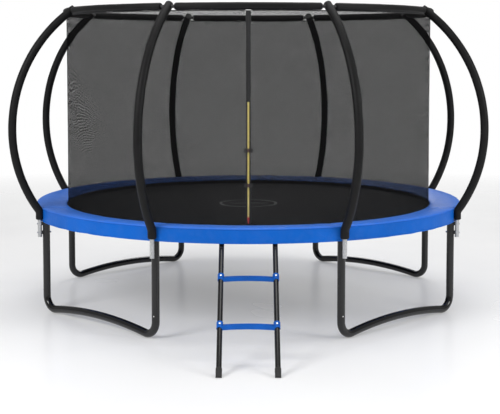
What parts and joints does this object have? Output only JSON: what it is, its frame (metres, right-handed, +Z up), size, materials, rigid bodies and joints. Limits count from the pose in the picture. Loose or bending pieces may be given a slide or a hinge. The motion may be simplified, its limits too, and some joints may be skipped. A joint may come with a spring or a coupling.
{
  "type": "backyard trampoline",
  "caption": "Round garden trampoline with U-legs, sprung mat, ring pad, bowed padded poles, hoop, zipped safety net and a hooked-on ladder.",
  "frame": {"origin": "on the ground below the middle of the jumping mat", "axes": "+Z up, -Y towards the door and the ladder, +X to the right of someone who faces the door"},
  "size_m": [3.9112, 4.6788, 2.5311],
  "materials": {
    "black_steel": "semi-gloss black powder coat",
    "galvanised_steel": "galvanised steel",
    "pole_steel": "galvanised steel",
    "foam_sleeve": "closed-cell foam in a ribbed black skin",
    "black_plastic": "moulded plastic",
    "zinc_steel": "zinc plate",
    "mat_fabric": "woven polypropylene",
    "webbing": "polyester webbing",
    "net_mesh": "fine knitted polyethylene net",
    "pad_cover": "blue PVC-coated cover over foam",
    "zip_yellow": "moulded zip teeth",
    "zip_pull_red": "enamelled slider",
    "blue_step": "blue powder coat",
    "rubber": "moulded rubber"
  },
  "bodies": {
    "root": {"buckle_sockets": "black_plastic", "door_tape": "webbing", "frame_rail_front": "galvanised_steel", "frame_rail_front_left": "galvanised_steel", "frame_rail_front_right": "galvanised_steel", "frame_rail_left": "galvanised_steel", "frame_rail_rear": "galvanised_steel", "frame_rail_rear_left": "galvanised_steel", "frame_rail_rear_right": "galvanised_steel", "frame_rail_right": "galvanised_steel", "frame_sockets": "galvanised_steel", "hoop_foam": "foam_sleeve", "hoop_rods": "galvanised_steel", "hoop_tees": "black_plastic", "leg_base_front_left": "black_steel", "leg_base_front_right": "black_steel", "leg_base_rear_left": "black_steel", "leg_base_rear_right": "black_steel", "leg_extensions": "black_steel", "leg_fasteners": "zinc_steel", "net_front_left": "net_mesh", "net_front_right": "net_mesh", "net_hem": "webbing", "net_rear_left": "net_mesh", "net_rear_right": "net_mesh", "pad_skirt": "pad_cover", "pole_caps": "black_plastic", "pole_foam_front_left": "foam_sleeve", "pole_foam_front_right": "foam_sleeve", "pole_foam_rear_left": "foam_sleeve", "pole_foam_rear_right": "foam_sleeve", "pole_foam_side_front_left": "foam_sleeve", "pole_foam_side_front_right": "foam_sleeve", "pole_foam_side_rear_left": "foam_sleeve", "pole_foam_side_rear_right": "foam_sleeve", "pole_front_left": "pole_steel", "pole_front_right": "pole_steel", "pole_rear_left": "pole_steel", "pole_rear_right": "pole_steel", "pole_side_front_left": "pole_steel", "pole_side_front_right": "pole_steel", "pole_side_rear_left": "pole_steel", "pole_side_rear_right": "pole_steel", "pole_spacers": "black_plastic", "spring_pad": "pad_cover", "springs": "zinc_steel", "zipper": "zip_yellow"},
    "mat": {"jump_mat": "mat_fabric", "mat_edge_band": "webbing", "mat_rings": "zinc_steel"},
    "ladder": {"ladder_bolts": "zinc_steel", "ladder_feet": "rubber", "ladder_hooks": "black_steel", "ladder_rail_left": "black_steel", "ladder_rail_right": "black_steel", "ladder_step_lower": "blue_step", "ladder_step_upper": "blue_step"},
    "zip_slider": {"zipper_slider": "zip_pull_red"},
    "upper_clip": {"buckle_clip_upper": "black_plastic"},
    "lower_clip": {"buckle_clip_lower": "black_plastic"}
  },
  "joints": [
    {"name": "mat_bounce", "type": "slide", "parent": "root", "child": "mat", "axis": [0, 0, 1], "range_m": [-0.18, 0.012], "stiffness_N_per_m": 5000, "deforming": ["springs", "net_hem"]},
    {"name": "ladder_swing", "type": "hinge", "parent": "root", "child": "ladder", "pos_m": [0, -1.79929, 0.818], "axis": [-1, 0, 0], "range_deg": [0, 12]},
    {"name": "zip_travel", "type": "slide", "parent": "root", "child": "zip_slider", "axis": [0, 0, 1], "range_m": [0, 0.86]},
    {"name": "upper_buckle_release", "type": "slide", "parent": "root", "child": "upper_clip", "axis": [-1, 0, 0], "range_m": [0, 0.04]},
    {"name": "lower_buckle_release", "type": "slide", "parent": "root", "child": "lower_clip", "axis": [-1, 0, 0], "range_m": [0, 0.04]}
  ]
}
